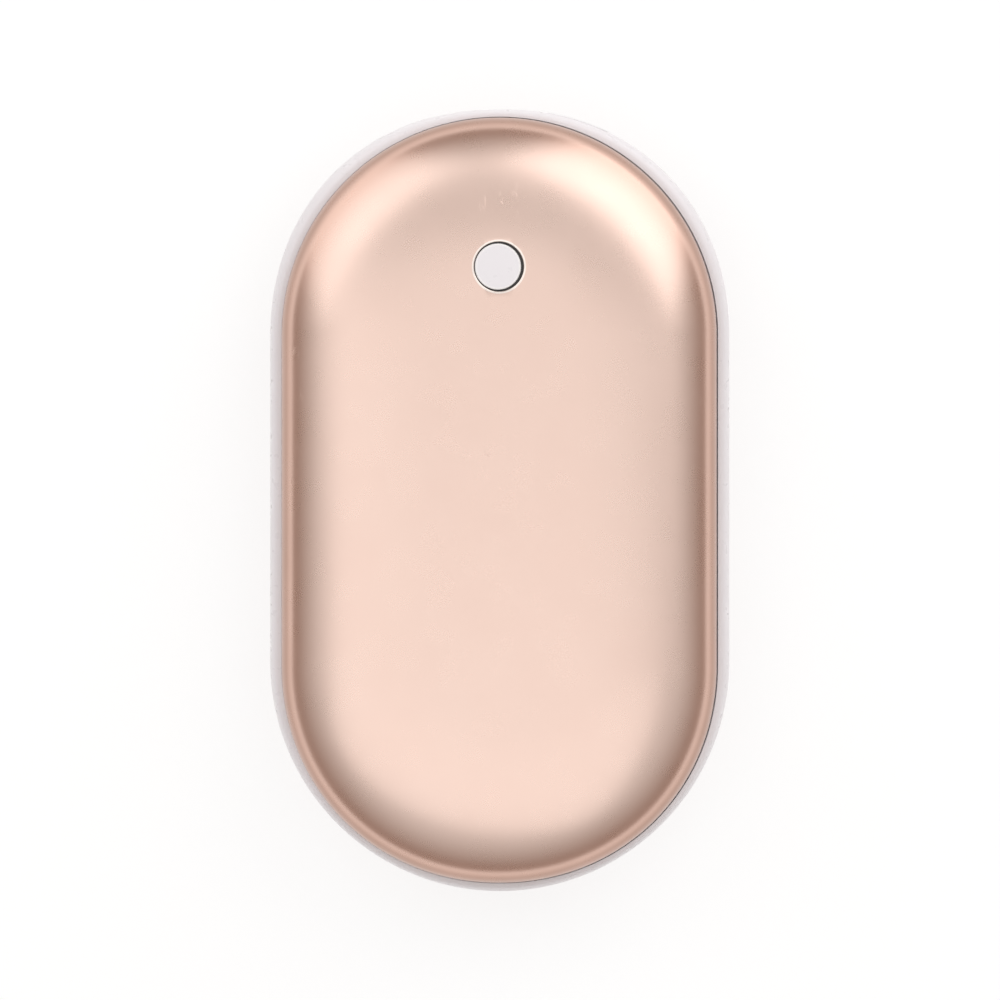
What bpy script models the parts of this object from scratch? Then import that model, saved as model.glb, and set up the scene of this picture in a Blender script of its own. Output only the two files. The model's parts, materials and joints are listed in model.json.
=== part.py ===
"""Rechargeable hand warmer: two crowned metal shells on a moulded frame, round two cells and their electronics.

Metres, +Z up. The object lies on its rear shell, with its port end towards +Y, and heights are counted from the
plane through the middle of the frame. A reach is a distance from the spine, the straight line between the centres
of the two round ends, so that every piece of the housing follows the same outline.
"""

import math

import bmesh
import bpy
from mathutils import Matrix, Vector

# Driving sizes: the two cells, the room beside them and the bay for the electronics beyond their ends
cell_diameter = 0.0184
cell_length = 0.0650
side_room = 0.0075
electronics_bay = 0.0202

# Fits
fit_gap = 0.0003
cut_overrun = 0.0020

# Mid frame
band_height = 0.0090
shoulder_width = 0.0011
rebate_depth = 0.0010
lip_height = 0.0020
lip_wall = 0.0009
band_power = 3.5
port_fullness = 2.13

# Shells
shell_wall = 0.0007
flat_reach = 0.0080
crown_power = 2.6
button_diameter = 0.0060
button_clearance = 0.00025

# Liners and their snap hooks
liner_height = 0.0018
liner_width = 0.0022
hook_width = 0.0040
hook_wall = 0.0010
hook_catch = 0.0008
hook_tooth = 0.0012
hook_height = 0.0016
hook_place_shares = (-0.85, 0.0, 0.85)

# Heaters and pads
heater_film = 0.00025
heater_reach = 0.0200
heater_ring_shares = (0.0, 0.55, 1.0)
heater_hole_margin = 0.0008
pad_relief = 0.0005
pad_thickness = 0.00175
pad_reach = 0.0120

# Cells
nipple_radius = 0.0030
nipple_height = 0.0009
cell_groove = 0.0006
cell_groove_place = 0.0032
cell_edge = 0.0005
washer_radius = 0.0080
washer_bore = 0.0036
paper_thickness = 0.0002
nickel_thickness = 0.0002
nickel_width = 0.0060
nickel_margin = 0.0035

# Cradle
cradle_relief = 0.0008
cradle_end_wall = 0.0010
cradle_tail_corner = 0.0130
cradle_port_corner = 0.0030
lug_width = 0.0050
lug_thickness = 0.0015
lug_place_share = 0.48
boss_radius = 0.0022
boss_merge = 0.0004
boss_depth = 0.0047

# Screws
screw_head_radius = 0.0017
screw_head_height = 0.0012
screw_radius = 0.0009
screw_length = 0.0045
screw_socket = 0.0006

# Circuit board
board_thickness = 0.0012
board_edge_gap = 0.0005
board_boss_radius = 0.0030
board_boss_merge = 0.00025
board_boss_angle = math.radians(30.0)

# Switch and button
switch_size = 0.0045
switch_inset = 0.00015
plunger_radius = 0.0016
plunger_height = 0.0008
plunger_travel = 0.0004
button_travel = 0.0005
button_sink = 0.0001
button_edge = 0.0004
button_edge_shares = (0.0, 0.5, 1.0)
flange_overhang = 0.0010
flange_thickness = 0.0008
stem_radius = 0.0015
stem_length = 0.0018
guide_radius = 0.0048
guide_plate = 0.0008
guide_leg_gap = 0.0004
guide_leg_wall = 0.0012
guide_leg_length = 0.0026

# Sockets
mouth_sink = 0.0004
socket_wall = 0.0003
usb_a_x = -0.0025
usb_a_width = 0.0131
usb_a_height = 0.0057
usb_a_depth = 0.0140
usb_a_corner = 0.0008
usb_a_block = 0.0040
tongue_side_gap = 0.0007
tongue_thickness = 0.0018
tongue_drop = 0.00055
tongue_setback = 0.0008
contact_span = 0.0070
contact_place_shares = (-0.5, -1.0 / 7.0, 1.0 / 7.0, 0.5)
contact_width = 0.0010
contact_thickness = 0.0002
socket_spacing = 0.0022
micro_width = 0.0075
micro_height = 0.0025
micro_depth = 0.0053
micro_corner = 0.0007
micro_block = 0.0018
micro_tongue_width = 0.0042
micro_tongue_thickness = 0.0006
micro_tongue_setback = 0.0006

# Indicator lights
light_side_gap = 0.0013
light_step_angle = math.radians(6.5)
light_end_angle = math.radians(3.0)
light_count = 4
lens_radius = 0.0006
lens_drop = 0.0008
lens_sink = 0.0002
guide_bar_width = 0.0011
guide_bar_height = 0.00165
led_length = 0.0016
led_depth = 0.0008
led_height = 0.0012

# Parts on the board: places are shares of the board's width and depth from the middle of its straight edge
chip_height = 0.0015
charger_size = 0.0050
charger_place_shares = (0.26, 0.50)
controller_size = 0.0042
controller_place_shares = (0.02, 0.66)
inductor_radius = 0.0031
inductor_waist = 0.0026
inductor_height = 0.0030
inductor_flange = 0.0007
inductor_place_shares = (-0.24, 0.46)
capacitor_length = 0.0032
capacitor_width = 0.0016
capacitor_place_shares = ((0.02, 0.40), (-0.02, 0.86))

# Temperature sensor and leads
sensor_radius = 0.0012
sensor_length = 0.0040
lead_radius = 0.0005
lead_samples = 3

# Facets
end_steps = 20
crown_steps = 8
inner_crown_steps = 6
band_steps = 6
round_steps = 24
small_round_steps = 10
corner_steps = 4
smooth_angle = math.radians(32.0)

# Outwards from the cells to the frame's side
cell_radius = cell_diameter / 2
cell_x = cell_radius + fit_gap / 2
cell_side = cell_x + cell_radius
bay_radius = cell_radius + fit_gap
frame_inner_reach = cell_side + side_room
lip_reach = frame_inner_reach + lip_wall
shell_inner_reach = lip_reach + fit_gap
shell_reach = shell_inner_reach + shell_wall
rebate_reach = shell_reach + fit_gap
half_width = rebate_reach + shoulder_width

# Upwards from the cells to the shell's top
pad_inner = cell_radius + fit_gap
pad_outer = pad_inner + pad_thickness
heater_inner = pad_outer + pad_relief
heater_outer = heater_inner + heater_film
shell_inside_height = heater_outer + fit_gap
half_height = shell_inside_height + shell_wall
band_half = band_height / 2
ledge_height = band_half - rebate_depth
lip_top = ledge_height + lip_height
rim_height = ledge_height + fit_gap

# Along the cells: their tail corners clear the round end, and the bay lies beyond their port ends
tail_room = math.sqrt((frame_inner_reach - fit_gap) ** 2 - cell_side**2)
spine_half = (cell_length + electronics_bay - frame_inner_reach - tail_room) / 2
half_length = spine_half + half_width
cell_tail_y = -spine_half - tail_room
cell_port_y = cell_tail_y + cell_length
end_stack = fit_gap + nickel_thickness + fit_gap

# Sizes that follow from the board and its sockets
board_bottom = usb_a_height / 2 + fit_gap
board_top = board_bottom + board_thickness
parts_base = board_top + fit_gap
board_y = cell_port_y + end_stack
board_reach = frame_inner_reach - board_edge_gap
board_half_width = math.sqrt(board_reach**2 - (board_y - spine_half) ** 2)
board_depth = spine_half + board_reach - board_y
board_boss_reach = frame_inner_reach - board_boss_radius + board_boss_merge
pilot_radius = screw_radius + fit_gap

# Sizes that follow from the switch under the button
button_y = board_y + switch_inset + switch_size / 2
button_radius = button_diameter / 2
button_hole_radius = button_radius + button_clearance
flange_radius = button_hole_radius + flange_overhang
guide_bore = stem_radius + fit_gap

# Sizes that follow from the sockets' places
usb_a_side = abs(usb_a_x) + usb_a_width / 2
micro_x = usb_a_x + usb_a_width / 2 + socket_spacing + micro_width / 2
tongue_width = usb_a_width - 2 * (socket_wall + tongue_side_gap)
led_reach = frame_inner_reach - fit_gap - guide_bar_width - fit_gap - led_depth / 2
light_first_angle = math.pi / 2 + math.asin((usb_a_side + light_side_gap) / led_reach)


# Outlines
def swell(angle, fullness):
    """How far a squared round end stands out at an angle, as a share of a true circle's reach."""
    across = abs(math.cos(angle)) ** fullness
    along = abs(math.sin(angle)) ** fullness
    return (across + along) ** (-1 / fullness)


def outline(reach, height, fullness=2.0):
    """One ring round the spine. A fullness over 2 squares the port end a little."""
    points = []
    for centre_y, first_angle, power in ((spine_half, 0.0, fullness), (-spine_half, math.pi, 2.0)):
        for step in range(end_steps + 1):
            angle = first_angle + math.pi * step / end_steps
            distance = reach * swell(angle, power)
            points.append((distance * math.cos(angle), centre_y + distance * math.sin(angle), height))
    return points


def crown(rim_reach, top_height, steps):
    """Reach and height from the flat top down to the shell's side, along a superellipse."""
    points = []
    for step in range(steps + 1):
        angle = math.pi / 2 * (1 - step / steps)
        across = max(math.cos(angle), 0.0) ** (2 / crown_power)
        upward = math.sin(angle) ** (2 / crown_power)
        reach = flat_reach + (rim_reach - flat_reach) * across
        points.append((reach, band_half + (top_height - band_half) * upward))
    return points


def inside_height(reach):
    """Height of the shell's inner face at a reach."""
    share = (reach - flat_reach) / (shell_inner_reach - flat_reach)
    if share <= 0:
        return shell_inside_height
    return band_half + (shell_inside_height - band_half) * (1 - share**crown_power) ** (1 / crown_power)


def inside_reach(height):
    """Reach of the shell's inner face at a height."""
    share = (height - band_half) / (shell_inside_height - band_half)
    return flat_reach + (shell_inner_reach - flat_reach) * (1 - share**crown_power) ** (1 / crown_power)


def port_face_y(x):
    """Where the frame's outer face lies at the port end, at a distance across."""
    share = abs(x) / half_width
    return spine_half + half_width * (1 - share**port_fullness) ** (1 / port_fullness)


def rounded_rectangle(width, height, corner):
    """Points of a rectangle with round corners, about its middle."""
    points = []
    for quarter, (side, level) in enumerate(((1, 1), (-1, 1), (-1, -1), (1, -1))):
        for step in range(corner_steps + 1):
            angle = math.pi / 2 * (quarter + step / corner_steps)
            x = side * (width / 2 - corner) + corner * math.cos(angle)
            z = level * (height / 2 - corner) + corner * math.sin(angle)
            points.append((x, z))
    return points


# Shapes
def loft(bm, rings, joined=False):
    """Skins from ring to ring, then caps the two ends or joins the last ring to the first."""
    loops = [[bm.verts.new(point) for point in ring] for ring in rings]
    pairs = list(zip(loops, loops[1:]))
    if joined:
        pairs.append((loops[-1], loops[0]))
    else:
        bm.faces.new(loops[0])
        bm.faces.new(loops[-1])
    for first, second in pairs:
        for i, vertex in enumerate(first):
            bm.faces.new((vertex, first[i - 1], second[i - 1], second[i]))


def block(bm, low, high):
    """A box between two opposite corners."""
    centre = (Vector(low) + Vector(high)) / 2
    size = Vector(high) - Vector(low)
    place = Matrix.Translation(centre) @ Matrix.Diagonal((*size, 1.0))
    bmesh.ops.create_cube(bm, size=1.0, matrix=place)


def turned(bm, profile, foot, axis, steps, joined=False):
    """Turns radius and height pairs about an axis that starts at the foot."""
    place = Matrix.Translation(foot) @ Vector(axis).to_track_quat("Z", "Y").to_matrix().to_4x4()
    rings = []
    for radius, height in profile:
        angles = [2 * math.pi * step / steps for step in range(steps)]
        ring = [place @ Vector((radius * math.cos(a), radius * math.sin(a), height)) for a in angles]
        rings.append(ring)
    loft(bm, rings, joined)


def pin(bm, foot, axis, radius, length, steps):
    """A round pin from its foot along an axis."""
    turned(bm, [(radius, 0.0), (radius, length)], foot, axis, steps)


def prism(bm, points, low, high):
    """A flat outline pulled up between two heights."""
    loft(bm, [[(x, y, low) for x, y in points], [(x, y, high) for x, y in points]])


def end_place(angle, reach, height):
    """A point in the port end at an angle about its centre."""
    return Vector((reach * math.cos(angle), spine_half + reach * math.sin(angle), height))


# Objects
def material(name, colour, roughness, metallic=0.0):
    look = bpy.data.materials.new(name)
    look.use_nodes = True
    shader = look.node_tree.nodes["Principled BSDF"]
    shader.inputs["Base Color"].default_value = (*colour, 1.0)
    shader.inputs["Roughness"].default_value = roughness
    shader.inputs["Metallic"].default_value = metallic
    return look


def piece(name, bm, look, origin=(0.0, 0.0, 0.0)):
    """Makes an object of what is drawn about the mid plane, with its own origin at the given point."""
    bmesh.ops.recalc_face_normals(bm, faces=bm.faces)
    bmesh.ops.translate(bm, verts=bm.verts, vec=-Vector(origin))
    mesh = bpy.data.meshes.new(name)
    bm.to_mesh(mesh)
    bm.free()
    mesh.shade_smooth()
    mesh.set_sharp_from_angle(angle=smooth_angle)
    mesh.materials.append(look)
    made = bpy.data.objects.new(name, mesh)
    made.location = Vector(origin) + Vector((0.0, 0.0, half_height))
    bpy.context.collection.objects.link(made)
    return made


def boolean(target, tool, operation):
    """Cuts the tool from the target or adds it, and keeps the tool as a guide only."""
    tool.hide_render = True
    tool.display_type = "WIRE"
    step = target.modifiers.new(operation.title(), "BOOLEAN")
    step.operation = operation
    step.solver = "EXACT"
    step.object = tool


# Housing
def shell(name, side, look):
    """A drawn cup: over the crown and down to the rim, then back up inside."""
    outer = crown(shell_reach, half_height, crown_steps)
    inner = crown(shell_inner_reach, shell_inside_height, inner_crown_steps)
    profile = outer + [(shell_reach, rim_height), (shell_inner_reach, rim_height)] + inner[::-1]
    bm = bmesh.new()
    loft(bm, [outline(reach, side * height) for reach, height in profile])
    return piece(name, bm, look)


def button_hole(radius, low, look):
    bm = bmesh.new()
    pin(bm, (0.0, button_y, low), (0.0, 0.0, 1.0), radius, half_height - low + cut_overrun, round_steps)
    return piece("button_hole_tool", bm, look)


def band_profile():
    """Reach, height and fullness round the frame's section, from the outer crown to the inner wall."""
    points = []
    for step in range(band_steps + 1):
        angle = math.pi * (step / band_steps - 0.5)
        upward = math.copysign(abs(math.sin(angle)) ** (2 / band_power), angle)
        outward = max(math.cos(angle), 0.0) ** (2 / band_power)
        fullness = 2.0 + (port_fullness - 2.0) * outward
        points.append((rebate_reach + shoulder_width * outward, band_half * upward, fullness))
    for reach, height in ((rebate_reach, ledge_height), (lip_reach, ledge_height), (lip_reach, lip_top)):
        points.append((reach, height, 2.0))
    points.append((frame_inner_reach, lip_top, 2.0))
    points.append((frame_inner_reach, -lip_top, 2.0))
    for reach, height in ((lip_reach, lip_top), (lip_reach, ledge_height), (rebate_reach, ledge_height)):
        points.append((reach, -height, 2.0))
    return points


def cradle_boss_places():
    x = frame_inner_reach - boss_radius + boss_merge
    return [(side * x, end * lug_place_share * spine_half) for end in (-1, 1) for side in (-1, 1)]


def board_boss_places():
    places = [end_place(angle, board_boss_reach, 0.0) for angle in (math.pi - board_boss_angle, board_boss_angle)]
    return [(place.x, place.y) for place in places]


def light_angles():
    return [light_first_angle + light_step_angle * i for i in range(light_count)]


def frame_bosses(look):
    bm = bmesh.new()
    for x, y in cradle_boss_places():
        pin(bm, (x, y, -fit_gap - boss_depth), (0.0, 0.0, 1.0), boss_radius, boss_depth, round_steps)
    height = board_bottom - fit_gap + ledge_height
    for x, y in board_boss_places():
        pin(bm, (x, y, -ledge_height), (0.0, 0.0, 1.0), board_boss_radius, height, round_steps)
    return piece("frame_boss_tool", bm, look)


def pilot_holes(look):
    bm = bmesh.new()
    pilots = [(*place, lug_thickness) for place in cradle_boss_places()]
    pilots += [(*place, board_top) for place in board_boss_places()]
    for x, y, seat in pilots:
        pin(bm, (x, y, seat - screw_length), (0.0, 0.0, 1.0), pilot_radius, screw_length, small_round_steps)
    return piece("pilot_hole_tool", bm, look)


def socket_windows(look):
    bm = bmesh.new()
    outer_y = half_length + cut_overrun
    for x, width, back_y, bottom, top in (usb_a_window(), micro_window()):
        block(bm, (x - width / 2, back_y, bottom), (x + width / 2, outer_y, top))
    return piece("socket_window_tool", bm, look)


def light_holes(look):
    bm = bmesh.new()
    for angle in light_angles():
        foot = end_place(angle, frame_inner_reach - cut_overrun, lens_height())
        axis = (math.cos(angle), math.sin(angle), 0.0)
        length = half_width - frame_inner_reach + 2 * cut_overrun
        pin(bm, foot, axis, lens_radius + fit_gap, length, small_round_steps)
    return piece("light_hole_tool", bm, look)


def hook_pockets(look):
    """Pockets in the frame's inner wall, which the liners' hooks snap into."""
    bm = bmesh.new()
    half_pocket = hook_width / 2 + fit_gap
    for side, place, facing in hook_places():
        y = place * spine_half
        near = side * (frame_inner_reach - fit_gap)
        far = side * (frame_inner_reach + hook_catch)
        low = facing * hook_height
        high = facing * (hook_height + hook_tooth + 2 * fit_gap)
        low_corner = (min(near, far), y - half_pocket, min(low, high))
        high_corner = (max(near, far), y + half_pocket, max(low, high))
        block(bm, low_corner, high_corner)
    return piece("hook_pocket_tool", bm, look)


def mid_frame(look):
    bm = bmesh.new()
    loft(bm, [outline(*point) for point in band_profile()], joined=True)
    made = piece("mid_frame", bm, look)
    boolean(made, frame_bosses(look), "UNION")
    for tool in (pilot_holes(look), socket_windows(look), light_holes(look), hook_pockets(look)):
        boolean(made, tool, "DIFFERENCE")


def hook_places():
    return [(side, place, facing) for facing in (-1, 1) for side in (-1, 1) for place in hook_place_shares]


def liner_hooks(facing, look):
    """Arms down the frame's inner wall, each with a tooth for its pocket."""
    arm_outer = frame_inner_reach - fit_gap
    arm_inner = arm_outer - hook_wall
    tip = hook_height + fit_gap
    profile = [
        (arm_inner, lip_top + fit_gap + liner_height / 2),
        (arm_inner, tip),
        (arm_outer - hook_wall / 2, tip),
        (frame_inner_reach + hook_catch - fit_gap, tip + hook_tooth / 2),
        (frame_inner_reach + hook_catch - fit_gap, tip + hook_tooth),
        (arm_outer, tip + hook_tooth),
        (arm_outer, lip_top + fit_gap + liner_height / 2),
    ]
    bm = bmesh.new()
    for side, place, hook_facing in hook_places():
        if hook_facing == facing:
            ends = (place * spine_half - hook_width / 2, place * spine_half + hook_width / 2)
            loft(bm, [[(side * reach, y, facing * height) for reach, height in profile] for y in ends])
    return piece("liner_hook_tool", bm, look)


def liner(name, facing, look):
    """A ring just over the frame's lip, sloped to follow the shell's inner face."""
    low = lip_top + fit_gap
    high = low + liner_height
    inner = frame_inner_reach - hook_wall - 2 * fit_gap
    profile = [
        (inside_reach(low) - fit_gap, low),
        (inside_reach(high) - fit_gap, high),
        (max(inner, inside_reach(high) - fit_gap - liner_width), high),
        (inner, low),
    ]
    bm = bmesh.new()
    loft(bm, [outline(reach, facing * height) for reach, height in profile], joined=True)
    made = piece(name, bm, look)
    boolean(made, liner_hooks(facing, look), "UNION")


# Heaters and pads
def heater(name, side, look):
    """A film that follows the shell's inner face out over the start of the crown."""
    reaches = [flat_reach + share * (heater_reach - flat_reach) for share in heater_ring_shares]
    outer = [(reach, inside_height(reach) - fit_gap) for reach in reaches]
    inner = [(reach, height - heater_film) for reach, height in reversed(outer)]
    bm = bmesh.new()
    loft(bm, [outline(reach, side * height) for reach, height in outer + inner])
    return piece(name, bm, look)


def pad(name, side, look):
    """Foam between a heater and the cells, cut off short of the button's guide."""
    port_y = button_y - guide_radius - fit_gap
    points = [(x, min(y, port_y)) for x, y, _ in outline(pad_reach, 0.0)]
    points = [point for i, point in enumerate(points) if point[1] < port_y or not flat_run(points, i, port_y)]
    low, high = sorted((side * pad_inner, side * pad_outer))
    bm = bmesh.new()
    prism(bm, points, low, high)
    piece(name, bm, look)


def flat_run(points, i, level):
    """Whether a point lies between two others on the same level."""
    return points[i - 1][1] == level and points[(i + 1) % len(points)][1] == level


# Cells
def cell_mesh(look):
    """A steel can with its crimp groove, round shoulders and the plus end's nipple."""
    shoulder = cell_length - nipple_height
    groove = shoulder - cell_groove_place
    profile = [
        (cell_radius - cell_edge, 0.0),
        (cell_radius, cell_edge),
        (cell_radius, groove - cell_groove),
        (cell_radius - cell_groove, groove),
        (cell_radius, groove + cell_groove),
        (cell_radius, shoulder - cell_edge),
        (cell_radius - cell_edge, shoulder),
        (nipple_radius, shoulder),
        (nipple_radius, cell_length),
    ]
    bm = bmesh.new()
    turned(bm, profile, (0.0, 0.0, 0.0), (0.0, 1.0, 0.0), round_steps)
    made = piece("cell_left", bm, look)
    made.location = (-cell_x, cell_tail_y, half_height)
    return made


def cells(look):
    left = cell_mesh(look)
    right = bpy.data.objects.new("cell_right", left.data)
    right.location = (cell_x, cell_tail_y, half_height)
    bpy.context.collection.objects.link(right)


def washer(name, x, look):
    """An insulating paper ring on the cell's plus shoulder."""
    shoulder = cell_port_y - nipple_height + fit_gap
    profile = [
        (washer_bore, 0.0),
        (washer_radius, 0.0),
        (washer_radius, paper_thickness),
        (washer_bore, paper_thickness),
    ]
    bm = bmesh.new()
    turned(bm, profile, (x, shoulder, 0.0), (0.0, 1.0, 0.0), round_steps, joined=True)
    piece(name, bm, look, (x, shoulder, 0.0))


def nickel_strip(name, y, look):
    """A strip across both cells, which starts at y."""
    side = cell_x + nickel_margin
    bm = bmesh.new()
    block(bm, (-side, y, -nickel_width / 2), (side, y + nickel_thickness, nickel_width / 2))
    piece(name, bm, look, (0.0, y, 0.0))


def cradle_outline():
    """A rectangle whose tail corners are rounder, to follow the frame."""
    half = frame_inner_reach + boss_merge - 2 * boss_radius - fit_gap
    tail_y = cell_tail_y - end_stack - cradle_end_wall
    port_y = board_y + cradle_end_wall
    corners = (
        (half, port_y, cradle_port_corner, 0),
        (-half, port_y, cradle_port_corner, 1),
        (-half, tail_y, cradle_tail_corner, 2),
        (half, tail_y, cradle_tail_corner, 3),
    )
    points = []
    for x, y, corner, quarter in corners:
        centre_x = x - math.copysign(corner, x)
        centre_y = y - math.copysign(corner, y)
        for step in range(corner_steps + 1):
            angle = math.pi / 2 * (quarter + step / corner_steps)
            points.append((centre_x + corner * math.cos(angle), centre_y + corner * math.sin(angle)))
    return points


def cradle_lugs(look):
    bm = bmesh.new()
    for x, y in cradle_boss_places():
        inner = math.copysign(cell_side + 2 * fit_gap, x)
        outer = math.copysign(frame_inner_reach - fit_gap, x)
        block(
            bm,
            (min(inner, outer), y - lug_width / 2, 0.0),
            (max(inner, outer), y + lug_width / 2, lug_thickness),
        )
    return piece("cradle_lug_tool", bm, look)


def cradle_bay(x, look):
    tail_y = cell_tail_y - end_stack
    bm = bmesh.new()
    pin(bm, (x, tail_y, 0.0), (0.0, 1.0, 0.0), bay_radius, board_y - tail_y, round_steps)
    return piece("cradle_bay_tool", bm, look)


def strip_slots(look):
    """Room for the nickel strips, through the ridge between the bays at both of its ends."""
    side = cell_x + nickel_margin + fit_gap
    low = -nickel_width / 2 - fit_gap
    bm = bmesh.new()
    for start, end in ((cell_tail_y - end_stack, cell_tail_y), (cell_port_y, board_y)):
        block(bm, (-side, start, low), (side, end, lug_thickness))
    return piece("strip_slot_tool", bm, look)


def cradle_holes(look):
    bm = bmesh.new()
    length = lug_thickness + 2 * cut_overrun
    for x, y in cradle_boss_places():
        pin(bm, (x, y, -cut_overrun), (0.0, 0.0, 1.0), pilot_radius, length, small_round_steps)
    return piece("cradle_hole_tool", bm, look)


def cell_cradle(look):
    """A tray that holds the lower half of both cells, with four lugs on the frame's bosses."""
    bm = bmesh.new()
    prism(bm, cradle_outline(), cradle_relief - cell_radius, lug_thickness / 2)
    made = piece("cell_cradle", bm, look)
    boolean(made, cradle_lugs(look), "UNION")
    bays = [cradle_bay(x, look) for x in (-cell_x, cell_x)]
    for tool in (*bays, strip_slots(look), cradle_holes(look)):
        boolean(made, tool, "DIFFERENCE")


def screw(name, x, y, seat, look):
    """A pan head screw whose head rests on the seat's height."""
    under = seat + fit_gap
    profile = [
        (screw_radius / 2, -screw_length),
        (screw_radius, screw_radius - screw_length),
        (screw_radius, 0.0),
        (screw_head_radius, 0.0),
        (screw_head_radius, screw_head_height / 2),
        (screw_radius, screw_head_height),
        (screw_socket, screw_head_height),
        (screw_socket / 2, screw_head_height / 2),
    ]
    bm = bmesh.new()
    turned(bm, profile, (x, y, under), (0.0, 0.0, 1.0), small_round_steps)
    piece(name, bm, look, (x, y, under))


# Circuit board
def board_outline(reach, start_y):
    """A straight edge at the cells and a round one inside the frame."""
    first = math.asin((start_y - spine_half) / reach)
    sweep = math.pi - 2 * first
    places = [end_place(first + sweep * step / end_steps, reach, 0.0) for step in range(end_steps + 1)]
    return [(place.x, place.y) for place in places]


def circuit_board(look):
    bm = bmesh.new()
    prism(bm, board_outline(board_reach, board_y), board_bottom, board_top)
    made = piece("circuit_board", bm, look)
    bm = bmesh.new()
    for x, y in board_boss_places():
        length = board_thickness + 2 * cut_overrun
        pin(bm, (x, y, board_bottom - cut_overrun), (0.0, 0.0, 1.0), pilot_radius, length, small_round_steps)
    boolean(made, piece("board_hole_tool", bm, look), "DIFFERENCE")


def board_place(shares):
    return 2 * board_half_width * shares[0], board_y + board_depth * shares[1]


def board_block(name, shares, length, width, height, look):
    x, y = board_place(shares)
    bm = bmesh.new()
    block(bm, (x - length / 2, y - width / 2, parts_base), (x + length / 2, y + width / 2, parts_base + height))
    piece(name, bm, look, (x, y, parts_base))


def inductor(look):
    """A drum core, drawn in at its winding."""
    x, y = board_place(inductor_place_shares)
    profile = [
        (inductor_radius, 0.0),
        (inductor_radius, inductor_flange),
        (inductor_waist, inductor_flange),
        (inductor_waist, inductor_height - inductor_flange),
        (inductor_radius, inductor_height - inductor_flange),
        (inductor_radius, inductor_height),
    ]
    bm = bmesh.new()
    turned(bm, profile, (x, y, parts_base), (0.0, 0.0, 1.0), round_steps)
    piece("boost_inductor", bm, look, (x, y, parts_base))


# Switch and button, stacked from under the shell down to the board
def flange_top():
    """Height just under the shell, at the flange's far edge."""
    return inside_height(button_y - spine_half + flange_radius) - fit_gap


def stem_bottom():
    return flange_top() - flange_thickness - stem_length


def switch_top():
    return stem_bottom() - fit_gap - plunger_height


def switch_body(look):
    """A square body as tall as the room between the plunger and the board, with the well its plunger runs in."""
    half = switch_size / 2
    bm = bmesh.new()
    block(bm, (-half, button_y - half, parts_base), (half, button_y + half, switch_top()))
    made = piece("switch_body", bm, look, (0.0, button_y, parts_base))
    depth = plunger_height + plunger_travel + fit_gap
    bm = bmesh.new()
    foot = (0.0, button_y, switch_top() - depth)
    pin(bm, foot, (0.0, 0.0, 1.0), plunger_radius + fit_gap, 2 * depth, round_steps)
    boolean(made, piece("switch_well_tool", bm, look), "DIFFERENCE")


def switch_plunger(look):
    foot = (0.0, button_y, switch_top() - plunger_height)
    bm = bmesh.new()
    pin(bm, foot, (0.0, 0.0, 1.0), plunger_radius, 2 * plunger_height, round_steps)
    piece("switch_plunger", bm, look, foot)


def button_cap(look):
    """A stem, a flange that stops under the shell, and the cap in its hole."""
    top = half_height - button_sink
    profile = [
        (stem_radius, stem_bottom()),
        (stem_radius, flange_top() - flange_thickness),
        (flange_radius, flange_top() - flange_thickness),
        (flange_radius, flange_top()),
        (button_radius, flange_top()),
    ]
    for share in button_edge_shares:
        angle = math.pi / 2 * share
        radius = button_radius - button_edge * (1 - math.cos(angle))
        profile.append((radius, top - button_edge * (1 - math.sin(angle))))
    bm = bmesh.new()
    turned(bm, profile, (0.0, button_y, 0.0), (0.0, 0.0, 1.0), round_steps)
    piece("button_cap", bm, look, (0.0, button_y, flange_top()))


def button_guide(look):
    """A round plate over the switch, with the stem's bore, on two legs that stand on the board."""
    plate_top = flange_top() - flange_thickness - button_travel - fit_gap
    plate_bottom = plate_top - guide_plate
    bm = bmesh.new()
    pin(bm, (0.0, button_y, plate_bottom), (0.0, 0.0, 1.0), guide_radius, guide_plate, round_steps)
    made = piece("button_guide", bm, look, (0.0, button_y, plate_bottom))
    inner = switch_size / 2 + guide_leg_gap
    outer = inner + guide_leg_wall
    bm = bmesh.new()
    for low, high in ((-outer, -inner), (inner, outer)):
        block(
            bm,
            (low, button_y - guide_leg_length / 2, parts_base),
            (high, button_y + guide_leg_length / 2, plate_top - guide_plate / 2),
        )
    boolean(made, piece("guide_leg_tool", bm, look), "UNION")
    bm = bmesh.new()
    foot = plate_bottom - fit_gap
    pin(bm, (0.0, button_y, foot), (0.0, 0.0, 1.0), guide_bore, guide_plate + 2 * fit_gap, round_steps)
    boolean(made, piece("guide_bore_tool", bm, look), "DIFFERENCE")


# Sockets
def usb_a_mouth_y():
    return port_face_y(usb_a_side) - mouth_sink


def micro_mouth_y():
    return port_face_y(abs(micro_x) + micro_width / 2) - mouth_sink


def micro_height_centre():
    """The micro socket hangs from the board's underside."""
    return board_bottom - fit_gap - micro_height / 2


def usb_a_window():
    """Centre, width, back, bottom and top of the frame's window for the large socket."""
    top = usb_a_height / 2 + fit_gap
    back = usb_a_mouth_y() - usb_a_depth - fit_gap
    return usb_a_x, usb_a_width + 2 * fit_gap, back, -top, top


def micro_window():
    centre = micro_height_centre()
    half = micro_height / 2 + fit_gap
    back = micro_mouth_y() - micro_depth - fit_gap
    return micro_x, micro_width + 2 * fit_gap, back, centre - half, centre + half


def socket_shell(name, x, height, mouth_y, size, corner, look):
    """A folded metal tube, open at its mouth and at its back."""
    width, tall, depth = size
    outer = rounded_rectangle(width, tall, corner)
    inner = rounded_rectangle(width - 2 * socket_wall, tall - 2 * socket_wall, corner - socket_wall)
    rings = []
    for points, y in ((outer, mouth_y), (outer, mouth_y - depth), (inner, mouth_y - depth), (inner, mouth_y)):
        rings.append([(x + px, y, height + pz) for px, pz in points])
    bm = bmesh.new()
    loft(bm, rings, joined=True)
    piece(name, bm, look, (x, mouth_y, height))


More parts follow.
